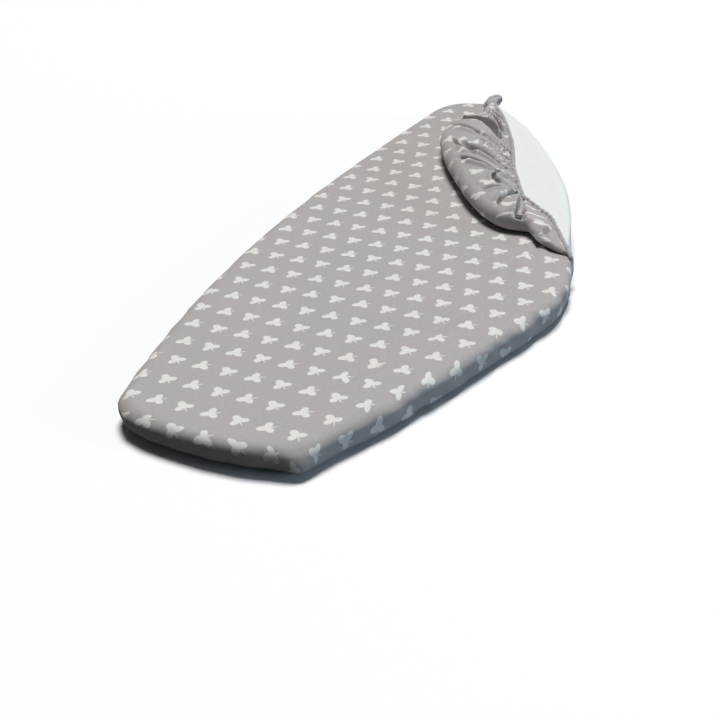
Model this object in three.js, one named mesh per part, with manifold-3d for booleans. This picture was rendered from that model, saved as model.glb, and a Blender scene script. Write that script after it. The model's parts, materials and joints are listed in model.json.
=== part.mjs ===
// Padded ironing board cover, shaped as it lies on its board, with one corner of
// the wide end turned back over the top. Millimetres, +Z up, +X from the nose to
// the wide end. The cover and its turned corner are two bodies that meet along
// the straight line of the fold, at the height of the printed top.
import * as THREE from 'three';
import { mergeVertices } from 'three/addons/utils/BufferGeometryUtils.js';
import Module from 'manifold-3d';

const wasm = await Module();
wasm.setup();

// Whole cover
const coverLength = 1042;
const coverWidth = 464;
const coverHeight = 35;

// Plan outline
const noseWidth = 220;
const noseBulge = 20;
const noseCornerLeg = 30;
const wideEndShare = 0.996;
const wideEndWidth = coverWidth * wideEndShare;
const wideEndBulge = 8;
const wideCornerLeg = 46;
const widestPlaceShare = 0.9;
const noseFlareShare = 0.33;
const endTaperShare = 0.02;
const handleShares = [0.33, 0.4, 0.4, 0.35];
const insetCornerShare = 0.4;
const longestLegShare = 0.6;

// Layers, from the outside in
const clothThickness = 1.4;
const waddingThickness = 6;
const liningThickness = 1;
const layerGap = 0.3;
const edgeGap = 0.9;
const curlGap = 0.6;

// Rolled edges, and the skirt that turns in under the board
const topRollRadius = 11;
const bottomRollRadius = 9;
const skirtWidth = 42;
const skirtFlatWidth = 28;
const skirtPleatHeight = 5;
const skirtMiddlePleatShare = 0.4;

// Hem casing along the free edge of the cloth, with the elastic in it
const casingDiameter = 6.4;
const casingBore = 4.2;
const elasticDiameter = 3.2;
const hemGap = 0.8;
const casingBendLeg = 10;
const leastHemStep = 2;

// Fold line: where it leaves the near side, as a share of the length, and the wide
// end, as a share of half that end's width, and its clearances
const foldNearShare = 0.485;
const foldFarShare = 0.645;
const foldGap = 0.3;
const foldAxisRise = 0.15;
const casingAxisGap = 1;

// Turned corner, by its reach across the fold line and its height over the top.
// The shares run in even steps from the near end of the fold to its far end.
const curlReach = 130;
const curlHeight = 34;
const curlCrown = 2;
const hemSetback = 47;
const flapPleatHeight = 2.4;
const reachShares = [0.31, 0.48, 0.75, 0.9, 0.96, 1, 1, 0.94, 0.75, 0.45, 0.21];
const heightShares = [0.36, 0.5, 0.71, 0.87, 0.98, 1, 1, 0.985, 0.9, 0.7, 0.45];
const hemSetbackShares = [0.3, 0.42, 0.52, 0.96, 0.95, 0.72, 0.52, 0.42, 0.4, 0.34, 0.2];
const hemHeightShares = [0.27, 0.36, 0.52, 0.68, 0.8, 0.85, 0.85, 0.83, 0.76, 0.58, 0.34];
const clothSpanShares = [0.03, 0.95];
const paddedSpanShares = [0.18, 0.88];
const waddingRunShare = 0.5;
const liningRunShare = 0.6;
const pleatRunShare = 0.65;

// Bunched cloth where the hem comes up over the wide end
const bunchLength = 30;
const bunchWidth = 22;
const bunchHeight = 22;
const bunchSetback = 28;
const bunchRiseShare = 0.25;

const cutOverrun = 60;

// Facets
const noseSteps = 3;
const cornerSteps = 4;
const sideSteps = 7;
const endSteps = 3;
const rollSteps = 3;
const bendSteps = 5;
const tubeSides = 8;
const curlSteps = 6;
const upperSteps = 3;
const flapStations = 42;
const bunchSides = 12;

const finishes = {
  print: { color: 0xaca5a3, roughness: 0.9, metalness: 0 },
  wadding: { color: 0xe9e6dc, roughness: 1, metalness: 0 },
  lining: { color: 0xe8eae6, roughness: 0.95, metalness: 0 },
  casing: { color: 0x9d9796, roughness: 0.9, metalness: 0 },
  elastic: { color: 0xdcdad4, roughness: 0.8, metalness: 0 },
};

const cover = new THREE.Group();

function add(name, geometry, finish) {
  const mesh = new THREE.Mesh(geometry, new THREE.MeshStandardMaterial(finishes[finish]));
  mesh.name = name;
  cover.add(mesh);
}

// Closed triangle meshes, and the solids that are cut and joined from them
function meshOf(points, faces) {
  const geometry = new THREE.BufferGeometry();
  geometry.setAttribute('position', new THREE.Float32BufferAttribute(points.flatMap((p) => p.toArray()), 3));
  geometry.setIndex(faces);
  geometry.computeVertexNormals();
  return geometry;
}

function solidOf(geometry) {
  const bare = geometry.clone();
  bare.deleteAttribute('normal');
  bare.deleteAttribute('uv');
  const welded = mergeVertices(bare, coverLength / 1e7);
  const vertProperties = new Float32Array(welded.attributes.position.array);
  const triVerts = new Uint32Array(welded.index.array);
  return new wasm.Manifold(new wasm.Mesh({ numProp: 3, vertProperties, triVerts }));
}

function geometryOf(solid) {
  const { vertProperties, triVerts, numProp } = solid.getMesh();
  const points = [];
  for (let i = 0; i < vertProperties.length; i += numProp) {
    points.push(new THREE.Vector3(vertProperties[i], vertProperties[i + 1], vertProperties[i + 2]));
  }
  return meshOf(points, Array.from(triVerts));
}

// A skin over closed rings of equally many points. The plan of a ring, as plane
// points, closes the first and the last one with flat triangles.
function skinOver(rings, planOf) {
  const count = rings[0].length;
  const faces = [];
  for (let r = 0; r + 1 < rings.length; r += 1) {
    for (let i = 0; i < count; i += 1) {
      const j = (i + 1) % count;
      const here = r * count;
      const next = here + count;
      faces.push(here + i, here + j, next + j, here + i, next + j, next + i);
    }
  }
  for (const r of [0, rings.length - 1]) {
    const plan = rings[r].map(planOf);
    const turned = Math.sign(THREE.ShapeUtils.area(plan));
    for (const [a, b, c] of THREE.ShapeUtils.triangulateShape(plan, [])) {
      const along = Math.sign(THREE.ShapeUtils.area([plan[a], plan[b], plan[c]])) === turned;
      const [p, q] = along === (r > 0) ? [b, c] : [c, b];
      faces.push(r * count + a, r * count + p, r * count + q);
    }
  }
  return facedOut(meshOf(rings.flat(), faces));
}

// Turns every face over where the mesh encloses less than nothing.
function facedOut(geometry) {
  const index = Array.from(geometry.index.array);
  const corner = (i) => new THREE.Vector3().fromBufferAttribute(geometry.attributes.position, index[i]);
  let volume = 0;
  for (let i = 0; i < index.length; i += 3) {
    volume += corner(i).dot(corner(i + 1).cross(corner(i + 2)));
  }
  if (volume < 0) index.reverse();
  geometry.setIndex(index);
  geometry.computeVertexNormals();
  return geometry;
}

// The outline of the board in plan, drawn in by an inset, as one ring of points
function outline(inset) {
  const noseHalf = noseWidth / 2 - inset;
  const widestHalf = coverWidth / 2 - inset;
  const endHalf = wideEndWidth / 2 - inset;
  const legGrowth = Math.max(inset, 0) * insetCornerShare;
  const noseLeg = Math.min(noseCornerLeg + legGrowth, noseHalf * longestLegShare);
  const endLeg = Math.min(wideCornerLeg + legGrowth, endHalf * longestLegShare);
  const nose = new THREE.Vector2(inset + noseBulge, noseHalf);
  const end = new THREE.Vector2(coverLength - inset - wideEndBulge, endHalf);
  const widest = new THREE.Vector2(coverLength * widestPlaceShare - inset, widestHalf);

  const frontY = noseHalf - noseLeg;
  const front = new THREE.Vector2(inset + noseBulge * (frontY / noseHalf) ** 2, frontY);
  const sideStart = new THREE.Vector2(nose.x + noseLeg, nose.y + noseLeg * noseFlareShare);
  const sideEnd = new THREE.Vector2(end.x - endLeg, end.y + endLeg * endTaperShare);
  const backY = endHalf - endLeg;
  const back = new THREE.Vector2(end.x + wideEndBulge * (1 - (backY / endHalf) ** 2), backY);

  const frontRun = widest.x - sideStart.x;
  const backRun = sideEnd.x - widest.x;
  const [h0, h1, h2, h3] = handleShares;
  const curves = [
    [new THREE.QuadraticBezierCurve(
      new THREE.Vector2(inset, 0), new THREE.Vector2(inset, frontY / 2), front), noseSteps],
    [new THREE.QuadraticBezierCurve(front, nose, sideStart), cornerSteps],
    [new THREE.CubicBezierCurve(
      sideStart,
      new THREE.Vector2(sideStart.x + h0 * frontRun, sideStart.y + h0 * frontRun * noseFlareShare),
      new THREE.Vector2(widest.x - h1 * frontRun, widest.y), widest), sideSteps],
    [new THREE.CubicBezierCurve(
      widest,
      new THREE.Vector2(widest.x + h2 * backRun, widest.y),
      new THREE.Vector2(sideEnd.x - h3 * backRun, sideEnd.y + h3 * backRun * endTaperShare), sideEnd), sideSteps],
    [new THREE.QuadraticBezierCurve(sideEnd, end, back), cornerSteps],
    [new THREE.QuadraticBezierCurve(
      back, new THREE.Vector2(coverLength - inset, backY / 2),
      new THREE.Vector2(coverLength - inset, 0)), endSteps],
  ];
  const half = curves.flatMap(([curve, steps]) => curve.getPoints(steps).slice(0, -1));
  const last = new THREE.Vector2(coverLength - inset, 0);
  const mirrored = half.slice(1).reverse().map((p) => new THREE.Vector2(p.x, -p.y));
  return [...half, last, ...mirrored];
}

function ringAt(inset, z, pleat = 0) {
  return outline(inset).map((p, i) => new THREE.Vector3(p.x, p.y, z + (i % 2) * pleat));
}

// The line of the fold, and places told by the way along it, across it towards
// the open side, and up from the axis
const topZ = coverHeight;
const axisZ = topZ + foldAxisRise;
const foldNearX = coverLength * foldNearShare;
const foldStart = new THREE.Vector3(foldNearX, nearEdgeY(foldNearX), axisZ);
const foldFar = new THREE.Vector3(coverLength, (wideEndWidth / 2) * foldFarShare, axisZ);
const along = foldFar.clone().sub(foldStart).normalize();
const across = new THREE.Vector3(along.y, -along.x, 0);
const foldAngle = Math.atan2(along.y, along.x);

function nearEdgeY(x) {
  const ring = outline(0);
  for (let i = 0; i < ring.length; i += 1) {
    const [p, q] = [ring[i], ring[(i + 1) % ring.length]];
    if (p.y < 0 && (p.x - x) * (q.x - x) <= 0) {
      return THREE.MathUtils.mapLinear(x, p.x, q.x, p.y, q.y);
    }
  }
  return 0;
}

function foldPlace(s, u, v) {
  return foldStart.clone().addScaledVector(along, s).addScaledVector(across, u).add(new THREE.Vector3(0, 0, v));
}

// Where a line beside the fold enters and leaves an outline, as ways along it
function foldSpan(u, inset) {
  const ring = outline(inset).map((p) => new THREE.Vector3(p.x, p.y, axisZ).sub(foldStart));
  const ways = [];
  ring.forEach((p, i) => {
    const q = ring[(i + 1) % ring.length];
    const [pu, qu] = [p.dot(across) - u, q.dot(across) - u];
    if (pu * qu < 0) ways.push(THREE.MathUtils.mapLinear(0, pu, qu, p.dot(along), q.dot(along)));
  });
  return ways.sort((a, b) => a - b);
}

const foldLength = foldSpan(0, 0)[1];

// Everything on the open side of the fold line, as a block to cut away
function beyondFold() {
  const size = coverLength + cutOverrun;
  const block = new THREE.BoxGeometry(2 * size, size, 2 * size);
  block.translate(0, -size / 2 - foldGap / 2, 0);
  block.rotateZ(foldAngle);
  block.translate(foldStart.x, foldStart.y, foldStart.z);
  return solidOf(block);
}

// The hem leaves the skirt in a lane at each end of the fold, and rises outside
// the edge to the fold's axis.
const casingRadius = casingDiameter / 2;
const laneU = -(casingAxisGap + casingRadius);
const [riserNearS, riserFarS] = foldSpan(laneU, -(casingRadius + hemGap));
const riserNear = foldPlace(riserNearS, laneU, 0);
const riserFar = foldPlace(riserFarS, laneU, 0);
const laneTopZ = topZ - topRollRadius - clothThickness;
const laneMargin = casingRadius + hemGap;

function hemLane() {
  const nearX = riserNear.x - laneMargin;
  const farY = riserFar.y + laneMargin;
  const size = coverLength + cutOverrun;
  const block = new THREE.BoxGeometry(size, size, laneTopZ + cutOverrun);
  block.translate(nearX + size / 2, farY - size / 2, (laneTopZ - cutOverrun) / 2);
  return solidOf(block);
}

// The cover's section as rings: from the flat top round the rolled edge and down
// the side to where the underside is flat, at a depth in from the outside
function edgeRings(depth) {
  const rings = [];
  const turns = Array.from({ length: rollSteps + 1 }, (_, k) => (k / rollSteps) * (Math.PI / 2));
  const topRadius = topRollRadius - depth;
  const lowRadius = bottomRollRadius - depth;
  for (const turn of turns) {
    rings.push(ringAt(topRollRadius - topRadius * Math.sin(turn), topZ - topRollRadius + topRadius * Math.cos(turn)));
  }
  for (const turn of turns.reverse()) {
    rings.push(ringAt(bottomRollRadius - lowRadius * Math.sin(turn), bottomRollRadius - lowRadius * Math.cos(turn)));
  }
  return rings;
}

function skirtRings(depth) {
  return [
    ringAt(skirtFlatWidth, depth),
    ringAt((skirtFlatWidth + skirtWidth) / 2, depth, skirtPleatHeight * skirtMiddlePleatShare),
    ringAt(skirtWidth, depth, skirtPleatHeight),
  ];
}

// Printed cloth of the cover: top, rolled edge, side, and pleated skirt below
function coverShell() {
  const inside = [...edgeRings(clothThickness), ...skirtRings(clothThickness)];
  const outside = [...edgeRings(0), ...skirtRings(0)];
  const shell = skinOver([...inside, ...outside.reverse()], planXY);
  const hemRoom = solidOf(tubeAlong(coverHemPoints(), casingRadius + layerGap, 0));
  return solidOf(shell).subtract(beyondFold()).subtract(hemLane()).subtract(hemRoom).add(bunch());
}

function planXY(p) {
  return new THREE.Vector2(p.x, p.y);
}

// The knot of bunched cloth stands on the edge of the wide end, on the cloth.
function bunch() {
  const lump = new THREE.SphereGeometry(0.5, bunchSides, bunchSides / 2);
  lump.scale(bunchLength, bunchWidth, bunchHeight);
  lump.rotateZ(foldAngle);
  const place = foldPlace(foldLength, -bunchSetback, bunchHeight * bunchRiseShare);
  lump.translate(place.x, place.y, place.z);
  const core = solidOf(skinOver(edgeRings(clothThickness / 2), planXY));
  return solidOf(facedOut(mergeVertices(bareOf(lump), coverLength / 1e7))).subtract(core);
}

function bareOf(geometry) {
  geometry.deleteAttribute('normal');
  geometry.deleteAttribute('uv');
  return geometry;
}

// Wadding under the top, rounded into the rolled edge, and the lining under it
const waddingTopZ = topZ - clothThickness - layerGap;
const waddingLowZ = waddingTopZ - waddingThickness;
const liningTopZ = waddingLowZ - layerGap;

function coverWadding() {
  const centreZ = topZ - topRollRadius;
  const side = topRollRadius - clothThickness - edgeGap;
  const lowTurn = Math.acos((waddingLowZ - centreZ) / (waddingTopZ - centreZ));
  const rings = [];
  for (let k = 0; k <= rollSteps; k += 1) {
    const turn = lowTurn * (1 - k / rollSteps);
    rings.push(ringAt(topRollRadius - side * Math.sin(turn), centreZ + (waddingTopZ - centreZ) * Math.cos(turn)));
  }
  return solidOf(skinOver(rings, planXY)).subtract(beyondFold());
}

function coverLining() {
  const inset = clothThickness + edgeGap;
  const rings = [ringAt(inset, liningTopZ - liningThickness), ringAt(inset, liningTopZ)];
  return solidOf(skinOver(rings, planXY)).subtract(beyondFold());
}

// A route that is sampled at its own points, bends rounded
class HemRoute extends THREE.CatmullRomCurve3 {
  getUtoTmapping(u) {
    return u;
  }
}

function rounded(points, sharpest, leg) {
  const out = [];
  points.forEach((p, i) => {
    if (i === 0 || i === points.length - 1) {
      out.push(p);
      return;
    }
    const back = points[i - 1].clone().sub(p);
    const on = points[i + 1].clone().sub(p);
    if (back.angleTo(on) > sharpest) {
      out.push(p);
      return;
    }
    const from = p.clone().addScaledVector(back.clone().normalize(), Math.min(leg, back.length() / 2));
    const to = p.clone().addScaledVector(on.clone().normalize(), Math.min(leg, on.length() / 2));
    out.push(...new THREE.QuadraticBezierCurve3(from, p, to).getPoints(bendSteps));
  });
  return spaced(out);
}

// Leaves out the points that lie almost on the one before them.
function spaced(points) {
  const kept = [points[0]];
  for (const p of points.slice(1, -1)) {
    if (p.distanceTo(kept.at(-1)) > leastHemStep && p.distanceTo(points.at(-1)) > leastHemStep) kept.push(p);
  }
  return [...kept, points.at(-1)];
}

function tubeAlong(points, outer, bore) {
  const circle = (radius) => Array.from({ length: tubeSides }, (_, i) => {
    const turn = (i / tubeSides) * 2 * Math.PI;
    return new THREE.Vector2(radius * Math.cos(turn), radius * Math.sin(turn));
  });
  const shape = new THREE.Shape(circle(outer));
  if (bore) shape.holes.push(new THREE.Path(circle(bore)));
  const extrudePath = new HemRoute(points);
  const tube = new THREE.ExtrudeGeometry(shape, { steps: points.length - 1, extrudePath });
  return facedOut(mergeVertices(bareOf(tube), coverLength / 1e7));
}

// Hem of the cover: up at the near end of the fold, round the skirt's free edge,
// and up again at the far end
function coverHemPoints() {
  const hemZ = casingRadius;
  const ring = outline(skirtWidth + laneMargin).map((p) => new THREE.Vector3(p.x, p.y, hemZ));
  const leastWay = laneMargin + casingRadius;
  const clear = (p) => p.x < riserNear.x - leastWay || p.y > riserFar.y + leastWay;
  const start = ring.findIndex((p, i) => clear(p) && !clear(ring[(i + 1) % ring.length]));
  const chain = [];
  for (let k = 0; k < ring.length; k += 1) {
    const p = ring[(start - k + ring.length) % ring.length];
    if (clear(p)) chain.push(p);
  }
  const fromNear = chain[0].y < 0 ? chain : chain.reverse();
  const [first, last] = [fromNear[0], fromNear.at(-1)];
  const riserTopZ = axisZ - casingAxisGap;
  return rounded([
    riserNear.clone().setZ(riserTopZ),
    riserNear.clone().setZ(hemZ),
    new THREE.Vector3(riserNear.x, first.y, hemZ),
    ...fromNear,
    new THREE.Vector3(last.x, riserFar.y, hemZ),
    riserFar.clone().setZ(hemZ),
    riserFar.clone().setZ(riserTopZ),
  ], THREE.MathUtils.degToRad(140), casingBendLeg);
}

// One value of a table of shares at a share of the fold's length
function shareAt(shares, way) {
  const points = shares.map((value, i) => new THREE.Vector2(i / (shares.length - 1), value));
  return new THREE.SplineCurve(points).getPoint(way).y;
}

// Cross section of the turned corner: along the top, round the curl, back to the
// hem. The depth is how far in from the outside the layer's face lies.
function curlLine(way, depth, run, pleat) {
  const reach = curlReach * shareAt(reachShares, way);
  const height = curlHeight * shareAt(heightShares, way);
  const hemU = -(hemSetback * shareAt(hemSetbackShares, way) + casingRadius + hemGap);
  const hemV = curlHeight * shareAt(hemHeightShares, way) + clothThickness / 2;
  const radius = height / 2;
  const centre = new THREE.Vector2(radius - reach, foldAxisRise + radius);
  const line = [new THREE.Vector2(-foldGap / 2, foldAxisRise + depth)];
  for (let k = 0; k <= curlSteps; k += 1) {
    const turn = (k / curlSteps) * Math.PI;
    const arm = radius - depth;
    line.push(new THREE.Vector2(centre.x - arm * Math.sin(turn), centre.y - arm * Math.cos(turn)));
  }
  const topV = centre.y + radius;
  for (let k = 1; k <= upperSteps; k += 1) {
    const part = (k / upperSteps) * run;
    const crown = curlCrown * Math.sin(part * Math.PI);
    const ripple = pleat * Math.max(0, (part - pleatRunShare) / (1 - pleatRunShare));
    const level = THREE.MathUtils.lerp(topV, hemV, part);
    line.push(new THREE.Vector2(THREE.MathUtils.lerp(centre.x, hemU, part), level - depth + crown + ripple));
  }
  return line;
}

function curlLayer(spanShares, depth, thickness, run, pleatHeight) {
  const spacing = (clothSpanShares[1] - clothSpanShares[0]) / (flapStations - 1);
  const rings = [];
  for (let k = 0; k < flapStations; k += 1) {
    const way = clothSpanShares[0] + k * spacing;
    if (way < spanShares[0] || way > spanShares[1] + spacing / 2) continue;
    const pleat = (k % 2 ? 1 : -1) * pleatHeight;
    const section = [
      ...curlLine(way, depth, run, pleat),
      ...curlLine(way, depth + thickness, run, pleat).reverse(),
    ];
    rings.push(section.map((p) => foldPlace(way * foldLength, p.x, p.y)));
  }
  return skinOver(rings, planAcross);
}

function planAcross(p) {
  const way = p.clone().sub(foldStart);
  return new THREE.Vector2(way.dot(across), way.z);
}

// Hem of the turned corner, from the near end of the fold's axis to the far end
function cornerHemPoints() {
  const points = [foldPlace(riserNearS, laneU, casingAxisGap), foldPlace(riserNearS, laneU, casingDiameter)];
  const stations = flapStations / 2;
  for (let k = 0; k <= stations; k += 1) {
    const way = THREE.MathUtils.lerp(clothSpanShares[0], clothSpanShares[1], k / stations);
    points.push(foldPlace(
      way * foldLength,
      -hemSetback * shareAt(hemSetbackShares, way),
      curlHeight * shareAt(hemHeightShares, way)));
  }
  points.push(foldPlace(riserFarS, laneU, casingDiameter), foldPlace(riserFarS, laneU, casingAxisGap));
  return rounded(points, THREE.MathUtils.degToRad(140), casingBendLeg);
}

const waddingDepth = clothThickness + curlGap;
const liningDepth = waddingDepth + waddingThickness + curlGap;

add('cover_cloth', geometryOf(coverShell()), 'print');
add('cover_wadding', geometryOf(coverWadding()), 'wadding');
add('cover_lining', geometryOf(coverLining()), 'lining');
add('cover_hem_casing', tubeAlong(coverHemPoints(), casingRadius, casingBore / 2), 'casing');
add('cover_elastic', tubeAlong(coverHemPoints(), elasticDiameter / 2, 0), 'elastic');
add('corner_cloth', curlLayer(clothSpanShares, 0, clothThickness, 1, flapPleatHeight), 'print');
add('corner_wadding', curlLayer(paddedSpanShares, waddingDepth, waddingThickness, waddingRunShare, 0), 'wadding');
add('corner_lining', curlLayer(paddedSpanShares, liningDepth, liningThickness, liningRunShare, 0), 'lining');
add('corner_hem_casing', tubeAlong(cornerHemPoints(), casingRadius, casingBore / 2), 'casing');
add('corner_elastic', tubeAlong(cornerHemPoints(), elasticDiameter / 2, 0), 'elastic');

// The cover lies on its skirt, with its origin under the middle of its box.
const box = new THREE.Box3().setFromObject(cover);
const middle = box.getCenter(new THREE.Vector3());
cover.position.set(-middle.x, -middle.y, -box.min.z);
cover.updateMatrixWorld(true);

export default cover;
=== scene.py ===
# Padded ironing board cover with one corner of its wide end turned back over the top.
# Lengths are millimetres in the frame's axes until a mesh is made, then metres.
import math
from functools import lru_cache

import bpy
import numpy as np
from mathutils import Matrix, Vector, geometry, noise
import json


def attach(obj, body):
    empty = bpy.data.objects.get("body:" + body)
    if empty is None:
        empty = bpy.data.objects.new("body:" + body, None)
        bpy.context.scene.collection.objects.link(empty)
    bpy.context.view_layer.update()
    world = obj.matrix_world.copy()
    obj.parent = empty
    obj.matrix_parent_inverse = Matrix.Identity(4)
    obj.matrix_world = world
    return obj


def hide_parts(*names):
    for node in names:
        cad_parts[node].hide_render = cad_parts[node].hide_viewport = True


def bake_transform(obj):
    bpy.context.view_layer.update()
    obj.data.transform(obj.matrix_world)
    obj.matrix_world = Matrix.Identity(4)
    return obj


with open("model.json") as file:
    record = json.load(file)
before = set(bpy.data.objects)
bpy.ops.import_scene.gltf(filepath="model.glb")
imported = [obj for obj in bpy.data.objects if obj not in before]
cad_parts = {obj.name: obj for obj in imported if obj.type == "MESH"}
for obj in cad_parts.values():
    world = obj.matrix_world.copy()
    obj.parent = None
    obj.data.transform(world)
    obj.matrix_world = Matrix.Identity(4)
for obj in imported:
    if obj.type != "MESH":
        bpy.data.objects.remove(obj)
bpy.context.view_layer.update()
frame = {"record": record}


# Printed cloth. One sheet of woven cotton makes the top, the rolled edge, the side and
# the skirt that turns in underneath. The elastic in its hem draws it in all round, and
# curls over the corner of the wide end that is turned back on the top.
cloth_thickness = 1.2

# Its plan outline, drawn in by an inset. The way round counts 0 to 12: middle of the
# nose, far side, middle of the wide end at 6, near side, nose again.
nose_middle_x, nose_middle_y = -522.8033, -5.3158
cover_length, cover_width = 1042.0, 464.0
nose_width, nose_bulge, nose_reach = 224.0, 20.0, 8.0
nose_leg_least, nose_flare = 26.0, 0.33
end_width, end_bulge, end_leg_least, end_taper = 462.1, 8.0, 60.0, 0.02
widest_x = 937.8
leg_growth, leg_most = 0.4, 0.6
nose_handle, side_handle, end_handle = 0.33, 0.4, 0.35


def mix(a, b, share):
    return a + (b - a) * share


@lru_cache(maxsize=None)
def outline_curves(inset):
    """Half of the outline from the nose to the wide end, as points of soft curves."""
    nose_half, end_half = nose_width / 2 - inset, end_width / 2 - inset
    growth = max(inset, 0) * leg_growth
    nose_leg = min(nose_leg_least + growth, nose_half * leg_most)
    end_leg = min(end_leg_least + growth, end_half * leg_most)
    nose_x, end_x = inset - nose_reach, cover_length - inset
    nose = np.array((nose_x + nose_bulge, nose_half))
    end = np.array((end_x - end_bulge, end_half))
    widest = np.array((widest_x - inset, cover_width / 2 - inset))
    front_y, back_y = nose_half - nose_leg, end_half - end_leg
    front = np.array((nose_x + nose_bulge * (front_y / nose_half) ** 2, front_y))
    back = np.array((end[0] + end_bulge * (1 - (back_y / end_half) ** 2), back_y))
    side_start = nose + np.array((nose_leg, nose_leg * nose_flare))
    side_end = end + np.array((-end_leg, end_leg * end_taper))
    front_run, back_run = widest[0] - side_start[0], side_end[0] - widest[0]
    leaving_nose = side_start + nose_handle * front_run * np.array((1, nose_flare))
    nearing_end = side_end + end_handle * back_run * np.array((-1, end_taper))
    return [
        [np.array((nose_x, 0)), np.array((nose_x, front_y / 2)), front],
        [front, nose, side_start],
        [side_start, leaving_nose, widest - np.array((side_handle * front_run, 0)), widest],
        [widest, widest + np.array((side_handle * back_run, 0)), nearing_end, side_end],
        [side_end, end, back],
        [back, np.array((end_x, back_y / 2)), np.array((end_x, 0))],
    ]


def outline_at(way, inset):
    way %= 12
    half_way = 12 - way if way > 6 else way
    index = min(int(half_way), 5)
    points = outline_curves(round(float(inset), 1))[index]
    share = half_way - index
    while len(points) > 1:
        points = [mix(a, b, share) for a, b in zip(points, points[1:])]
    side = -1 if way > 6 else 1
    return np.array((points[0][0] + nose_middle_x, side * points[0][1] + nose_middle_y))


# The line of the fold. Places by it are told as s, the way along it, u, the way across
# it towards the open side, and v, the height over the hinge axis. The tables are lists
# of (place along the fold, value), read with a smooth curve through them.
hinge = frame["record"]["behaviour"]["joints"][0]
fold_start, along = np.array(hinge["pos_m"]) * 1000, np.array(hinge["axis"])
across = np.array((along[1], -along[0], 0))
axis_z = fold_start[2]
crease_table = [
    (0, -14), (30, -22), (55, -23), (80, -19), (125, -10), (162, -4), (232, 6), (304, 10),
    (380, 10), (473, 7), (545, 2), (587, -7), (620, -8), (637, -6), (645, -5),
]  # fmt: skip
near_pull, near_pull_run = 30.0, 110.0
far_pull, far_pull_run = 4.0, 70.0
near_crease_ways, far_crease_ways = (9.0, 10.4), (4.0, 5.999)
ring_samples, end_run = 6000, 60.0
triangle_height = 0.866


def table_at(table, place):
    places = [p for p, _ in table]
    values = [v for _, v in table]
    place = min(max(place, places[0]), places[-1])
    i = min(max(int(np.searchsorted(places, place)) - 1, 0), len(places) - 2)
    step = places[i + 1] - places[i]
    share = (place - places[i]) / step

    def slope(k):
        low, high = max(k - 1, 0), min(k + 1, len(places) - 1)
        return (values[high] - values[low]) / (places[high] - places[low])

    cube, square = share**3, share**2
    return (
        (2 * cube - 3 * square + 1) * values[i]
        + (cube - 2 * square + share) * step * slope(i)
        + (3 * square - 2 * cube) * values[i + 1]
        + (cube - square) * step * slope(i + 1)
    )


def smooth(low, high, value):
    share = np.clip((value - low) / (high - low), 0.0, 1.0)
    return share * share * (3 - 2 * share)


def fold_place(s, u, v):
    return fold_start + along * s + across * u + np.array((0, 0, v))


def fold_ways(point):
    way = np.array((point[0], point[1], axis_z)) - fold_start
    return way @ along, way @ across


def pull_in(place, total):
    """How far the elastic draws the edge in, towards either end of the fold."""
    near = near_pull * (1 - smooth(0, near_pull_run, place))
    return near + far_pull * (1 - smooth(0, far_pull_run, total - place))


def crease_ways(inset):
    """Where the crease leaves the outline: near end and far end, as ways round."""

    def beside(way, pull):
        s, u = fold_ways(outline_at(way, inset + pull))
        return u - table_at(crease_table, s)

    found = []
    for (low, high), pull in ((near_crease_ways, near_pull), (far_crease_ways, far_pull)):
        ways = np.linspace(low, high, 60)
        for a, b in zip(ways, ways[1:]):
            if beside(a, pull) * beside(b, pull) <= 0:
                for _ in range(40):
                    half = (a + b) / 2
                    a, b = (half, b) if beside(a, pull) * beside(half, pull) > 0 else (a, half)
                found.append(a)
                break
    return found


def spaced(low, high, spacing, end_spacing=None):
    """Places from low to high, with another spacing near both ends if it is given."""
    end_spacing = end_spacing or spacing
    places = [low]
    while places[-1] < high:
        to_end = min(places[-1] - low, high - places[-1])
        places.append(places[-1] + mix(end_spacing, spacing, smooth(0, end_run, to_end)))
    scale = (high - low) / (places[-1] - low)
    return [low + (p - low) * scale for p in places]


def ring_ways(inset, spacing, end_spacing=None):
    """Ways round the kept part of the outline, evenly spaced, near end first."""
    near, far = crease_ways(inset)
    ways = np.linspace(near, 12 + far, ring_samples)
    points = np.array([outline_at(way, inset) for way in ways])
    length = np.concatenate(([0], np.cumsum(np.linalg.norm(np.diff(points, axis=0), axis=1))))
    places = spaced(0, length[-1], spacing, end_spacing)
    return list(np.interp(places, length, ways)), places


def filled(boundary, spacing, margin):
    """Triangles over a closed plan outline, with points inside at a spacing."""
    polygon = np.array(boundary)
    nexts = np.roll(polygon, -1, axis=0)
    (left, bottom), (right, top) = polygon.min(axis=0), polygon.max(axis=0)
    inner = []
    for r, y in enumerate(np.arange(bottom, top, spacing * triangle_height)):
        for x in np.arange(left + (r % 2) * spacing / 2, right, spacing):
            crosses = (polygon[:, 1] > y) != (nexts[:, 1] > y)
            run = np.where(crosses, nexts[:, 1] - polygon[:, 1], 1)
            at = polygon[:, 0] + (y - polygon[:, 1]) * (nexts[:, 0] - polygon[:, 0]) / run
            if (crosses & (x < at)).sum() % 2 == 0:
                continue
            if np.hypot(polygon[:, 0] - x, polygon[:, 1] - y).min() > margin:
                inner.append((x, y))
    count = len(boundary)
    edges = [(i, (i + 1) % count) for i in range(count)]
    flat = [Vector(p) for p in list(boundary) + inner]
    _, _, faces, first, _, _ = geometry.delaunay_2d_cdt(flat, edges, [], 1, 1e-5)
    own = [ids[0] for ids in first]
    return inner, [[own[i] for i in face] for face in faces]


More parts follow.
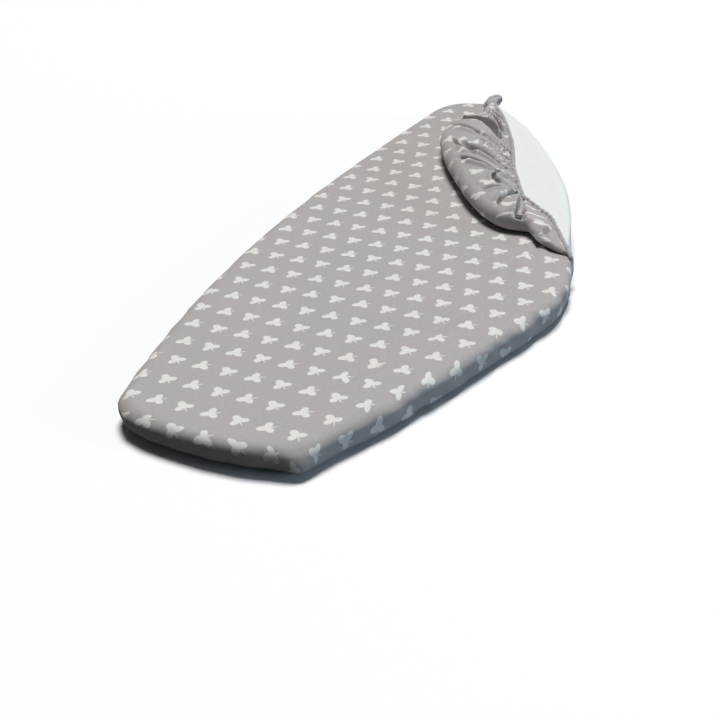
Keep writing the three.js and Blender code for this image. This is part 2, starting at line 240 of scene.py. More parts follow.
# The flat top, with long soft creases that the pull of the elastic leaves in it
top_z = 34.5
top_swell = [(0.35, 0, 70), (0.2, 9, 24)]
top_creases = [
    [(37, -150), (85, -137), (142, -129)],
    [(-40, -147), (28, -131), (85, -122)],
    [(-107, -143), (-49, -126), (9, -121)],
    [(57, -112), (105, -112), (153, -103)],
    [(143, -84), (123, -121), (90, -156)],
    [(177, -65), (158, -105), (125, -141)],
    [(-288, -121), (-231, -128), (-164, -143)],
    [(-412, -83), (-364, -93), (-297, -110)],
]
crease_depth, crease_ridge, crease_width = 2.3, 1.5, 4.5
ridge_beside, crease_fade = 1.8, 30.0
crease_least, crease_most = 2.4, 1.6
top_spacing, top_margin = 7.5, 4.5


def ripple(x, y, z, size):
    return noise.noise(Vector((x / size, y / size, z / size)))


def swell(x, y, layers):
    """Soft unevenness, as layers of height, layer of the noise and size of a wave."""
    return sum(height * ripple(x, y, layer, size) for height, layer, size in layers)


def bell(value, width):
    return np.exp(-((value / width) ** 2))


def beside_line(line, x, y):
    """Distances of places from a line, its values there, the side and the way off it."""
    line = np.array(line, float)
    best, side = np.full(x.shape, 1e9), np.ones(x.shape)
    values, away = np.zeros((*x.shape, line.shape[1])), np.zeros((*x.shape, 2))
    for a, b in zip(line, line[1:]):
        run = b[:2] - a[:2]
        share = np.clip(((x - a[0]) * run[0] + (y - a[1]) * run[1]) / (run @ run), 0, 1)
        dx, dy = x - a[0] - run[0] * share, y - a[1] - run[1] * share
        gap = np.hypot(dx, dy)
        nearer = gap < best
        best[nearer] = gap[nearer]
        values[nearer] = (a + (b - a) * share[..., None])[nearer]
        side[nearer] = np.sign(run[0] * dy - run[1] * dx)[nearer]
        away[nearer] = (np.stack((dx, dy), axis=-1) / np.maximum(gap, 1e-6)[..., None])[nearer]
    return best, values, side, away


def top_heights(x, y):
    z = np.array([top_z + swell(a, b, top_swell) for a, b in zip(x, y)])
    for line in top_creases:
        gap, values, _, _ = beside_line(line, x, y)
        to_ends = [np.hypot(*(values[:, :2] - end).T) for end in (line[0], line[-1])]
        fade = smooth(0, crease_fade, np.minimum(*to_ends))
        z += fade * crease_ridge * bell(gap - ridge_beside * crease_width, crease_width)
        z -= fade * crease_depth * bell(gap, crease_width)
    return np.clip(z, top_z - crease_least, top_z + crease_most)


# The kept edge of the cloth in section: upper roll, side, lower roll, and the skirt,
# which takes up its gathers on the way in to the hem
top_roll, low_roll, nose_low_roll = 12.0, 11.0, 21.0
top_arc = top_roll * math.pi / 2
nose_ways = (1.5, 2.25)
skirt_inset = 42.0
hem_z = 3.4
gather_pitch, gather_drift, gather_height, gather_run = 14.0, 2.4, 2.2, (5, 30)
slack_least, slack_most, slack_run = 0.3, 2.0, (2, 16)
slack_waves = [(1.0, 0.6, 3, 42), (0.5, 0.4, 8, 17)]
lower_lift, lower_wave, lower_from, lower_to = 1.6, 2.4, (28, 44), (0, 20)

# The near corner of the nose hangs fuller, and the near side is drawn into creases
full_way, full_spread, full_depth, full_run = 10.5, 0.25, 7.0, (8, 40)
drawn_from, drawn_to, drawn_depth, drawn_run = (8.9, 9.2), (9.95, 10.2), 2.0, (4, 16)
drawn_slant, drawn_stretch = 1.1, 0.25
dip_least, dip_wave, dip_from, dip_to = 0.6, 0.8, (0, 5), (10, 24)
edge_least = 0.4

# Rows of the sheet from the crease to the hem, and its gathered ends on the hinge axis
crease_rows, lower_rows, curl_rows, upper_rows = 3, 8, 13, 96
section_steps = crease_rows + lower_rows + curl_rows + upper_rows - 1
end_rise, end_rise_share, end_reach, end_extra = 1.8, 0.35, 10.0, 3.0
cuff_run, side_run, join_run = 44.0, 58.0, 30.0


def between(rise, fall, value):
    return smooth(*rise, value) * (1 - smooth(*fall, value))


def plain_edge(reach, low, low_from, under_from):
    """Inset and height of the cloth without its slack, a reach out from the top."""
    if reach <= top_arc:
        turn = reach / top_roll
        inset = top_roll - top_roll * math.sin(turn)
        return inset, top_z - top_roll + top_roll * math.cos(turn)
    if reach <= low_from:
        return 0.0, top_z - top_roll - (reach - top_arc)
    if reach <= under_from:
        turn = (reach - low_from) / low
        return low - low * math.cos(turn), low - low * math.sin(turn)
    return low + (reach - under_from), 0.0


def side_section(way, place, share_out):
    """Section of the kept cloth from the flat top to the hem, at a way round."""
    low = mix(nose_low_roll, low_roll, smooth(*nose_ways, min(way % 12, 12 - way % 12)))
    low_from = top_arc + (top_z - top_roll - low)
    under_from = low_from + low * math.pi / 2
    full = under_from + skirt_inset - low
    length = mix(end_reach + end_extra, full, smooth(0, side_run, share_out))
    full_corner = bell(way - full_way, full_spread)
    near_side = between(drawn_from, drawn_to, way)
    wave = math.sin(place / gather_pitch * math.tau + gather_drift * ripple(place, 0, 0, 60))
    points = []
    for k in range(section_steps + 1):
        reach = length * k / section_steps
        inset, z = plain_edge(reach, low, low_from, under_from)
        skirt = max(reach - under_from, 0)
        gather = smooth(*gather_run, skirt)
        z += gather * (hem_z + gather_height * wave)
        slack = sum(
            height * ripple(place, reach * stretch, layer, size)
            for height, stretch, layer, size in slack_waves
        )
        slack = smooth(*slack_run, reach) * (slack_least + slack_most * slack)
        hang = full_depth * full_corner * smooth(*full_run, reach)
        slanted = place + drawn_slant * reach
        drawn = near_side * drawn_depth * ripple(slanted, reach * drawn_stretch, 11, 19)
        inset += (slack - hang + smooth(*drawn_run, reach) * drawn) * (1 - gather)
        dip = dip_wave * drawn * (1 - gather) + dip_least * near_side
        z -= between(dip_from, dip_to, reach) * dip
        under = smooth(*lower_from, reach) * (1 - smooth(*lower_to, skirt)) * (1 - full_corner)
        z += under * (lower_lift + lower_wave * ripple(place, 0, 5, 30))
        points.append((inset, max(z, edge_least)))
    return points


# The turned corner: a lower layer with its print down, the curl, and the upper layer
# up to the gathered hem. Its reach is how far back from the fold the curl lies, and
# its height is that of the curl over the hinge axis.
reach_table = [
    (0, 40), (35, 47), (65, 54), (94, 59), (108, 63), (118, 81), (128, 93), (141, 101),
    (167, 111), (214, 120), (267, 125), (334, 129), (381, 129), (427, 124), (489, 108),
    (515, 97), (528, 86), (535, 64), (545, 49), (567, 38), (601, 26), (634, 17), (645, 20),
]  # fmt: skip
height_table = [
    (0, 10), (35, 12), (64, 16), (93, 19), (115, 23), (137, 27), (162, 29), (216, 32),
    (284, 34), (400, 34), (440, 32), (475, 28), (500, 23), (521, 20), (537, 20), (567, 19),
    (602, 15), (636, 10), (645, 10),
]  # fmt: skip
hem_table = [
    (0, -18), (33, -22), (62, -25), (92, -26), (123, -27), (154, -38), (182, -48),
    (208, -50), (234, -48), (282, -45), (326, -37), (375, -30), (448, -24), (511, -21),
    (565, -18), (608, -14), (632, -10), (645, -12),
]  # fmt: skip
hem_height_table = [
    (0, 5), (37, 6), (65, 10), (109, 12), (143, 16), (185, 20), (234, 23), (287, 26),
    (373, 27), (446, 27), (500, 25), (541, 20), (576, 15), (612, 10), (636, 6), (645, 6),
]  # fmt: skip
lift_table = [
    (0, 0.6), (38, 0.6), (77, 1.0), (155, 1.2), (507, 1.2), (585, 0.8), (638, 0.5), (645, 0.5),
]  # fmt: skip
crease_low, crease_round, loop_height = -0.3, 1.2, 2.6
curl_fullness, curl_drift = 0.05, 0.7
flap_crown, crown_from, crown_to = 5.5, (95, 172), (455, 524)
crown_run, hem_fall = 1.25, 1.3
pleat_pitch, pleat_drift, pleat_height, pleat_from = 9.5, 3.0, 1.1, 0.45
flap_swell = [(0.8, 6, 22), (0.5, 2, 9)]

# Hollows of the turned corner: the side of the steep wall, 1 for the curl's, then a
# line of places: along, across, run to the curl, run to the hem, share of the depth
hollows = [
    (-1, [(542, -94, 6, 3, 0.4), (530, -84, 10, 4, 1), (515, -70, 13, 5, 1),
          (500, -59, 13, 5, 1), (478, -50, 12, 5, 1), (450, -45, 10, 4.5, 1),
          (425, -43, 7, 4, 0.9), (392, -43, 4, 3, 0.3)]),
    (1, [(192, -50, 3, 4, 0.3), (170, -55, 4, 6, 0.9), (150, -62, 4, 8, 1),
         (134, -67, 5, 10, 1), (120, -70, 5, 9, 1), (108, -66, 4, 7, 1), (96, -60, 3, 5, 0.6)]),
]  # fmt: skip
hollow_floor = 4.2
steep_wall, soft_wall = (1.7, 0.5), (1.25, 0.1)
rim_at, rim_width, rim_height, rim_lean = 1.75, 0.75, 3.5, 1.1

# Pinched folds, each a line of places: along, across, half width, share of the depth
folds = [
    [(409, -64, 2.0, 0.2), (385, -57, 2.8, 1), (359, -50, 2.8, 1), (334, -43, 2.4, 0.9),
     (318, -38, 1.8, 0.4)],
    [(372, -75, 1.8, 0.2), (352, -67, 2.3, 0.8), (327, -57, 2.3, 0.9), (303, -47, 1.8, 0.5)],
    [(350, -83, 2.0, 0.2), (325, -72, 2.8, 1), (300, -62, 2.8, 1), (276, -50, 2.2, 0.8)],
    [(371, -102, 2.4, 0.2), (343, -94, 3.2, 0.9), (313, -83, 3.2, 1), (288, -72, 2.8, 1),
     (268, -58, 2.2, 0.7)],
    [(320, -121, 2.8, 0.2), (306, -110, 3.4, 0.9), (291, -100, 3.4, 1), (268, -86, 3.2, 1),
     (250, -74, 2.4, 0.6)],
    [(400, -119, 3.0, 0.2), (365, -108, 3.8, 0.8), (328, -97, 3.4, 0.7), (308, -92, 2.6, 0.3)],
    [(206, -78, 2.2, 0.3), (218, -83, 2.8, 0.9), (234, -80, 2.8, 1), (245, -71, 2.8, 1),
     (244, -60, 2.6, 1), (235, -52, 2.2, 0.6)],
    [(224, -71, 2.2, 0.3), (214, -69, 2.4, 0.9), (206, -64, 2.4, 1), (208, -55, 2.2, 0.8)],
    [(180, -62, 2.6, 0.8), (164, -79, 3.4, 0.8), (146, -92, 2.6, 0.3)],
    [(195, -99, 3.4, 0.2), (193, -80, 3.4, 0.7), (188, -59, 3.0, 0.9)],
    [(470, -104, 3.4, 0.2), (437, -90, 4.6, 0.6), (405, -76, 3.8, 0.6), (385, -68, 2.8, 0.2)],
    [(500, -38, 1.8, 0.4), (478, -34, 2.2, 1), (445, -32, 2.2, 1), (414, -35, 1.8, 0.4)],
    [(560, -33, 1.8, 0.4), (535, -31, 2.2, 1), (506, -29, 2.2, 1), (480, -27, 1.8, 0.4)],
    [(90, -30, 2.6, 0.5), (81, -41, 3.4, 0.6), (71, -51, 2.6, 0.4)],
    [(51, -28, 2.4, 0.6), (48, -35, 2.6, 1), (46, -43, 2.0, 0.5)],
    [(40, -27, 2.0, 0.6), (36, -32, 2.2, 1), (34, -39, 1.8, 0.6)],
]  # fmt: skip
fold_depth, fold_ridge, fold_close = 15.0, 4.2, 0.6
fold_ridge_at, fold_close_at, fold_close_width = 2.0, 1.7, 0.8
ridge_left, ridge_right = 1.3, 0.7
fold_room = (2, 12)

# Height of the backing inside the turned corner, and how far short of the curl it
# stops: everywhere, and by a hollow as (along, spread, length)
lining_height_table = [
    (0, 4.4), (37, 4.4), (66, 5.2), (95, 7.2), (123, 9.8), (162, 11.6), (230, 12.4),
    (328, 12.8), (426, 12.2), (494, 10.5), (524, 7.4), (569, 6), (603, 5.2), (637, 4.6),
    (645, 4.6),
]  # fmt: skip
lining_short, lining_shorter = 5.0, [(128, 22, 42), (522, 26, 55)]
lining_reach_least = 20.0
lining_clearance, backing_before, backing_after = 1.6, 6, 2
carve_rows = 6


def lining_reach(s):
    shorter = sum(length * bell(s - at, spread) for at, spread, length in lining_shorter)
    return max(table_at(reach_table, s) - lining_short - shorter, lining_reach_least)


def carve(s, u, v, floor):
    """The turned corner's upper layer with its hollows and pinched folds."""
    shift = np.zeros((*s.shape, 2))
    for steep_side, line in hollows:
        gap, values, side, away = beside_line(line, s, u)
        run = np.where(side > 0, values[..., 2], values[..., 3])
        gap, steep, share = gap / run, side == steep_side, values[..., 4]
        wall = np.where(steep, smooth(*steep_wall, gap), smooth(*soft_wall, gap))
        rim = np.where(steep, share * bell(gap - rim_at, rim_width), 0)
        v = mix(v, floor, share * wall) + rim_height * rim
        shift -= away * (rim_lean * run * rim)[..., None]
    room = smooth(*fold_room, v - floor)
    for line in folds:
        gap, values, side, away = beside_line(line, s, u)
        width, share = values[..., 2], values[..., 3] * room
        gap = gap / width
        ridge = fold_ridge * np.where(side > 0, ridge_left, ridge_right)
        ridge = ridge * bell(gap - fold_ridge_at, 1)
        v = v + share * (ridge - fold_depth * bell(gap, 1))
        closing = fold_close * width * share * bell(gap - fold_close_at, fold_close_width)
        shift -= away * closing[..., None]
    return s + shift[..., 0], u + shift[..., 1], v


def corner_section(s):
    """Section of the turned corner from the crease to the hem, as (s, u, v)."""
    reach, height = table_at(reach_table, s), table_at(height_table, s)
    crease, lift = table_at(crease_table, s), table_at(lift_table, s)
    hem_u, hem_v = table_at(hem_table, s), table_at(hem_height_table, s)
    radius = (height - loop_height) / 2
    centre_u = radius - reach
    crown = flap_crown * between(crown_from, crown_to, s)
    pleat = math.sin(s / pleat_pitch * math.tau + pleat_drift * ripple(s, 0, 0, 40))
    points = []
    for k in range(crease_rows):
        share = k / crease_rows
        u = crease + crease_round * math.sin(math.pi * share)
        points.append((s, u, mix(crease_low, loop_height, share)))
    for k in range(lower_rows):
        share = k / lower_rows
        u = mix(crease, centre_u, share)
        points.append((s, u, loop_height + lift * math.sin(math.pi * share)))
    for k in range(curl_rows):
        turn = math.pi * k / (curl_rows - 1)
        bulge = 1 + curl_fullness * ripple(s, turn * 20, 4, 26)
        points.append((
            s + curl_drift * ripple(s, k * 3, 12, 20),
            centre_u - radius * bulge * math.sin(turn),
            loop_height + radius - radius * math.cos(turn),
        ))
    for k in range(1, upper_rows + 1):
        share = k / upper_rows
        u = mix(centre_u, hem_u, share)
        v = mix(height, hem_v, share**hem_fall)
        v += crown * math.sin(math.pi * min(share * crown_run, 1))
        v += smooth(pleat_from, 1, share) * pleat_height * pleat + swell(s, u, flap_swell)
        points.append((s, u, v))
    return points


def corner_sections(stations):
    s, u, v = np.array([corner_section(station) for station in stations]).transpose(2, 0, 1)
    backed = np.array([[lining_reach(station)] for station in stations])
    backing = np.array([[table_at(lining_height_table, station)] for station in stations])
    over_backing = smooth(-backed - backing_before, -backed + backing_after, u)
    floor = mix(hollow_floor, backing + lining_clearance, over_backing)
    row, first_upper = np.arange(section_steps + 1), crease_rows + lower_rows + curl_rows
    upper = smooth(first_upper - carve_rows, first_upper + carve_rows, row)
    s, u, v = (mix(plain, cut, upper) for plain, cut in zip((s, u, v), carve(s, u, v, floor)))
    least = np.where(row > crease_rows, loop_height, crease_low)
    return np.stack((s, u, np.maximum(v, least)), axis=2)


# The sheet itself: columns round the kept edge, then along the turned corner
kept_spacing, kept_end_spacing = 7.0, 3.0
station_spacing, station_end_spacing = 1.1, 1.5


def end_column(point, outward):
    """The gathered end of the cloth on the hinge axis, from the top outward."""
    column = []
    for k in range(section_steps + 1):
        share = k / section_steps
        place = np.array((point[0], point[1], top_z)) + outward * end_reach * share
        place[2] += end_rise * smooth(0, end_rise_share, share)
        column.append(place)
    return column


def cloth_columns():
    ways, places = ring_ways(top_roll, kept_spacing, kept_end_spacing)
    near = outline_at(ways[0], top_roll + near_pull)
    far = outline_at(ways[-1], top_roll + far_pull)
    near_end, far_end = end_column(near, -along), end_column(far, along)
    kept = []
    for way, place in zip(ways, places):
        share_out = min(place, places[-1] - place)
        end = near_end if place < places[-1] / 2 else far_end
        pull = pull_in(place, places[-1])
        column = []
        for k, (inset, z) in enumerate(side_section(way, place, share_out)):
            x, y = outline_at(way, inset + pull)
            column.append(mix(end[k], np.array((x, y, z)), smooth(0, join_run, share_out)))
        column[0][2] = top_z
        kept.append(column)
    s_near, s_far = fold_ways(near)[0], fold_ways(far)[0]
    stations = spaced(s_near, s_far, station_spacing, station_end_spacing)
    corner, lengths = [], []
    for s, section in zip(stations, corner_sections(stations)):
        end = near_end if s < (s_near + s_far) / 2 else far_end
        share = smooth(0, cuff_run, min(s - s_near, s_far - s))
        steps = np.linalg.norm(np.diff(section, axis=0), axis=1)
        lengths.append(np.concatenate(([0], np.cumsum(steps))))
        column = [mix(e, fold_place(*p), share) for e, p in zip(end, section)]
        column[0] = fold_place(s, table_at(crease_table, s), 0)
        column[0][2] = top_z
        corner.append(column)
    return kept, corner, stations, lengths


kept_columns, corner_columns, corner_stations, corner_lengths = cloth_columns()
s_near, s_far = corner_stations[0], corner_stations[-1]


def strip_faces(columns):
    """Four corners of each face between columns, as (column, row)."""
    for i in range(len(columns) - 1):
        for k in range(len(columns[0]) - 1):
            yield (i, k), (i + 1, k), (i + 1, k + 1), (i, k + 1)


def printed_cloth_mesh():
    """Points, faces, and each face's places on the flat cloth before it was sewn."""
    points, cuts = [], []

    def put(place, cut):
        points.append(place)
        cuts.append(cut)
        return len(points) - 1

    kept_ids = []
    for i, column in enumerate(kept_columns):
        before = kept_columns[max(i - 1, 0)][0]
        after = kept_columns[min(i + 1, len(kept_columns) - 1)][0]
        run = (after - before)[:2]
        outward = np.array((-run[1], run[0])) / np.linalg.norm(run)
        ids, length = [], 0.0
        for k, place in enumerate(column):
            if k:
                length += np.linalg.norm(place - column[k - 1])
            ids.append(put(place, column[0][:2] + outward * length))
        kept_ids.append(ids)
    corner_ids = [kept_ids[0]]
    for column in corner_columns[1:-1]:
        corner_ids.append([put(place, None) for place in column])
    corner_ids.append(kept_ids[-1])

    faces, face_cuts = [], []
    for corners in strip_faces(kept_ids):
        ids = [kept_ids[i][k] for i, k in corners]
        faces.append(ids)
        face_cuts.append([cuts[i] for i in ids])
    corner_cuts = []
    for s, lengths in zip(corner_stations, corner_lengths):
        base = fold_place(s, table_at(crease_table, s), 0)
        corner_cuts.append([(base + across * length)[:2] for length in lengths])
    for a, b, c, d in strip_faces(corner_ids):
        faces.append([corner_ids[i][k] for i, k in (a, d, c, b)])
        face_cuts.append([corner_cuts[i][k] for i, k in (a, d, c, b)])

    rim = [ids[0] for ids in kept_ids] + [ids[0] for ids in corner_ids[-2:0:-1]]
    inner, triangles = filled([tuple(points[i][:2]) for i in rim], top_spacing, top_margin)
    heights = top_heights(*np.array(inner).T)
    inner_ids = [put(np.array((x, y, z)), (x, y)) for (x, y), z in zip(inner, heights)]
    every = rim + inner_ids
    for triangle in triangles:
        ids = [every[i] for i in triangle]
        faces.append(ids)
        face_cuts.append([points[i][:2] for i in ids])
    return points, faces, face_cuts


mm = 0.001


def mesh_piece(name, points, faces, face_cuts=None):
    mesh = bpy.data.meshes.new(name)
    mesh.from_pydata([Vector(p) * mm for p in points], [], faces)
    if face_cuts:
        layer = mesh.uv_layers.new(name="Cut")
        for polygon, cuts in zip(mesh.polygons, face_cuts):
            for loop, cut in zip(polygon.loop_indices, cuts):
                layer.data[loop].uv = (cut[0] * mm, cut[1] * mm)
    mesh.validate()
    mesh.shade_smooth()
    piece = bpy.data.objects.new(name, mesh)
    bpy.context.scene.collection.objects.link(piece)
    return piece


def thicken(piece, thickness, inner_material=0):
    shell = piece.modifiers.new("Thickness", "SOLIDIFY")
    shell.thickness = thickness * mm
    shell.offset = -1
    shell.use_even_offset = False
    shell.material_offset = inner_material
    graph = bpy.context.evaluated_depsgraph_get()
    made = bpy.data.meshes.new_from_object(piece.evaluated_get(graph), depsgraph=graph)
    piece.modifiers.clear()
    piece.data = made
    piece.data.shade_smooth()


printed_cloth = mesh_piece("printed_cloth", *printed_cloth_mesh())

# The print: three-leaved sprigs in a half-drop layout, off-white on a taupe ground.
# A leaf is its angle, middle, half length and half width; the last one is the stalk.
sprig_pitch_x, sprig_pitch_y = 39.0, 33.0
sprig_turn = 0.65
sprig_leaves = [
    (1.5708, 4.6, 6.4, 4.3), (3.55, 5.0, 5.6, 3.9), (-0.41, 5.0, 5.6, 3.9),
    (-1.5708, 6.2, 4.6, 0.8),
]  # fmt: skip
ink_sharpness = 1.6
cotton_roughness, cotton_sheen = 0.88, 0.15
weave_pitch, weave_shade = 0.9, 0.03
slub_size, patch_size, crumple_size = 260.0, 9.0, 45.0


def feed(tree, socket, value):
    """Links a socket to another, or sets its number or colour."""
    if isinstance(value, bpy.types.NodeSocket):
        tree.links.new(value, socket)
    else:
        socket.default_value = (*value, 1) if isinstance(value, tuple) else value


def calc(tree, operation, *values):
    node = tree.nodes.new("ShaderNodeMath")
    node.operation = operation
    for socket, value in zip(node.inputs, values):
        feed(tree, socket, value)
    return node.outputs[0]


def levelled(tree, value, factor, start):
    return calc(tree, "ADD", calc(tree, "MULTIPLY", value, factor), start)


def plain_finish(name, roughness, sheen=0.0):
    material = bpy.data.materials.new(name)
    material.use_nodes = True
    shader = material.node_tree.nodes["Principled BSDF"]
    shader.inputs["Roughness"].default_value = roughness
    shader.inputs["Sheen Weight"].default_value = sheen
    shader.inputs["Specular IOR Level"].default_value = 0.2
    return material, material.node_tree


def two_tone(tree, factor, low, high):
    node = tree.nodes.new("ShaderNodeMix")
    node.data_type = "RGBA"
    for name, value in (("Factor", factor), ("A", low), ("B", high)):
        feed(tree, node.inputs[name], value)
    return node.outputs["Result"]


def toned(tree, colour, share):
    node = tree.nodes.new("ShaderNodeVectorMath")
    node.operation = "SCALE"
    feed(tree, node.inputs[0], colour)
    feed(tree, node.inputs["Scale"], share)
    return node.outputs[0]


def fibres(tree, place, size, detail):
    node = tree.nodes.new("ShaderNodeTexNoise")
    node.inputs["Scale"].default_value = size
    node.inputs["Detail"].default_value = detail
    tree.links.new(place, node.inputs["Vector"])
    return node.outputs["Fac"]


def surfaced(material, colour, height, strength, distance):
    """The material with its colour and its relief put on."""
    tree = material.node_tree
    shader = tree.nodes["Principled BSDF"]
    node = tree.nodes.new("ShaderNodeBump")
    node.inputs["Strength"].default_value = strength
    node.inputs["Distance"].default_value = distance
    tree.links.new(height, node.inputs["Height"])
    tree.links.new(node.outputs["Normal"], shader.inputs["Normal"])
    tree.links.new(colour, shader.inputs["Base Color"])
    return material


def cut_map(tree):
    cut = tree.nodes.new("ShaderNodeUVMap")
    cut.uv_map = "Cut"
    return cut.outputs["UV"]


def cut_ways(tree, cut):
    """The two ways over the flat cloth, in millimetres."""
    parts = tree.nodes.new("ShaderNodeSeparateXYZ")
    tree.links.new(cut, parts.inputs[0])
    return [calc(tree, "MULTIPLY", parts.outputs[way], 1000.0) for way in ("X", "Y")]


def turned(tree, x, y, angle):
    cosine, sine = calc(tree, "COSINE", angle), calc(tree, "SINE", angle)
    return (
        calc(tree, "ADD", calc(tree, "MULTIPLY", x, cosine), calc(tree, "MULTIPLY", y, sine)),
        calc(tree, "SUBTRACT", calc(tree, "MULTIPLY", y, cosine), calc(tree, "MULTIPLY", x, sine)),
    )


def leaf(tree, x, y, angle, middle, half_length, half_width):
    """Over 0 inside one leaf, which lies out from the sprig's middle at an angle."""
    way, beside = turned(tree, x, y, angle)
    way = calc(tree, "DIVIDE", calc(tree, "SUBTRACT", way, middle), half_length)
    beside = calc(tree, "DIVIDE", beside, half_width)
    squares = (calc(tree, "MULTIPLY", value, value) for value in (way, beside))
    inside = calc(tree, "SUBTRACT", 1.0, calc(tree, "ADD", *squares))
    return calc(tree, "MULTIPLY", inside, half_width / 2)


def within_pitch(tree, count, number, pitch):
    share = calc(tree, "SUBTRACT", calc(tree, "SUBTRACT", count, number), 0.5)
    return calc(tree, "MULTIPLY", share, pitch)


def sprigs(tree, x, y):
    """1 on the sprigs and 0 between them. Every second one is turned the other way."""
    column = calc(tree, "DIVIDE", x, sprig_pitch_x)
    column_number = calc(tree, "FLOOR", column)
    odd = calc(tree, "FLOORED_MODULO", column_number, 2.0)
    half_drop = calc(tree, "MULTIPLY", odd, 0.5)
    row = calc(tree, "ADD", calc(tree, "DIVIDE", y, sprig_pitch_y), half_drop)
    row_number = calc(tree, "FLOOR", row)
    x = within_pitch(tree, column, column_number, sprig_pitch_x)
    y = within_pitch(tree, row, row_number, sprig_pitch_y)
    other = calc(tree, "FLOORED_MODULO", calc(tree, "ADD", column_number, row_number), 2.0)
    x, y = turned(tree, x, y, levelled(tree, other, 2 * sprig_turn, -sprig_turn))
    shape = leaf(tree, x, y, *sprig_leaves[0])
    for sizes in sprig_leaves[1:]:
        shape = calc(tree, "MAXIMUM", shape, leaf(tree, x, y, *sizes))
    edge = levelled(tree, shape, ink_sharpness, 0.5)
    return calc(tree, "MINIMUM", calc(tree, "MAXIMUM", edge, 0.0), 1.0)


def printed_cotton(name, ground_warm, ground_cool, motif_colour, motif_share):
    material, tree = plain_finish(name, cotton_roughness, cotton_sheen)
    cut = cut_map(tree)
    x, y = cut_ways(tree, cut)
    threads = (
        calc(tree, "SINE", calc(tree, "MULTIPLY", way, math.tau / weave_pitch)) for way in (x, y)
    )
    weave = calc(tree, "MULTIPLY", *threads)
    slub = fibres(tree, cut, slub_size, detail=3.0)
    patch = fibres(tree, cut, patch_size, detail=2.0)
    ground = two_tone(tree, patch, ground_warm, ground_cool)
    ink = calc(tree, "MULTIPLY", sprigs(tree, x, y), motif_share)
    ink = calc(tree, "MULTIPLY", ink, levelled(tree, slub, factor=-0.5, start=1.2))
    colour = two_tone(tree, calc(tree, "MINIMUM", ink, 1.0), ground, motif_colour)
    shade = levelled(tree, slub, factor=0.22, start=0.89)
    shade = calc(tree, "ADD", shade, calc(tree, "MULTIPLY", weave, weave_shade))
    crumple = fibres(tree, cut, crumple_size, detail=3.0)
    height = levelled(tree, weave, factor=0.12, start=crumple)
    return surfaced(material, toned(tree, colour, shade), height, strength=0.35, distance=0.0012)


print_face = printed_cotton(
    "print_face",
    ground_warm=(0.475, 0.415, 0.405),
    ground_cool=(0.41, 0.4, 0.38),
    motif_colour=(0.775, 0.755, 0.71),
    motif_share=1.0,
)
# The wrong side of the cloth, where the print shows through faintly
print_reverse = printed_cotton(
    "print_reverse",
    ground_warm=(0.5, 0.47, 0.46),
    ground_cool=(0.47, 0.46, 0.45),
    motif_colour=(0.66, 0.65, 0.61),
    motif_share=0.45,
)
printed_cloth.data.materials.append(print_face)
printed_cloth.data.materials.append(print_reverse)
thicken(printed_cloth, cloth_thickness, 1)
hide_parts("cover_cloth", "corner_cloth")
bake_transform(printed_cloth)


# Hem casing. The free edge of the cotton is turned over and stitched down into a
# narrow channel, which is gathered on its elastic, in one closed loop round the
# skirt and the turned corner.
casing_radius, casing_sides = 2.5, 14
casing_gather_pitch, casing_gather_drift, casing_gather_depth = 4.6, 2.0, 0.16
casing_unevenness = 0.08
stitch_pitch, stitch_length, stitch_row, stitch_half_width = 3.2, 2.2, 6.0, 0.35
hem_dark, hem_light = (0.38, 0.355, 0.35), (0.5, 0.47, 0.465)
thread_share, thread_colour = 0.5, (0.62, 0.61, 0.57)


def hem_path():
    kept = [column[-1] for column in kept_columns]
    corner = [column[-1] for column in corner_columns][-2:0:-1]
    path = np.array(kept + corner)
    for _ in range(3):
        path = (np.roll(path, 1, axis=0) + 2 * path + np.roll(path, -1, axis=0)) / 4
    return path


def loop_tube(name, path, radius_at, sides):
    """A closed tube round a closed path, with its flat cut as its map."""
    count = len(path)
    tangents = np.roll(path, -1, axis=0) - np.roll(path, 1, axis=0)
    tangents /= np.linalg.norm(tangents, axis=1)[:, None]
    steps = np.linalg.norm(np.diff(np.vstack((path, path[:1])), axis=0), axis=1)
    lengths = np.concatenate(([0], np.cumsum(steps)))
    girth = math.tau * casing_radius / sides
    points, faces, cuts = [], [], []
    for i in range(count):
        up = np.array((0, 0, 1)) - tangents[i] * tangents[i][2]
        up /= max(np.linalg.norm(up), 1e-6)
        aside = np.cross(tangents[i], up)
        for k in range(sides):
            turn = math.tau * k / sides
            radius = radius_at(lengths[i], turn)
            points.append(path[i] + radius * (up * math.cos(turn) + aside * math.sin(turn)))
    for i in range(count):
        for k in range(sides):
            j, m = (i + 1) % count, (k + 1) % sides
            faces.append([i * sides + k, i * sides + m, j * sides + m, j * sides + k])
            low, high, this, that = lengths[i], lengths[i + 1], k * girth, (k + 1) * girth
            cuts.append([(low, this), (low, that), (high, that), (high, this)])
    return mesh_piece(name, points, faces, cuts)


def gathered(length, turn):
    drift = casing_gather_drift * ripple(length, 0, 0, 18)
    gather = math.sin(length / casing_gather_pitch * math.tau + drift)
    uneven = casing_unevenness * ripple(length, turn * 4, 1, 7)
    return casing_radius * (1 + casing_gather_depth * gather + uneven)


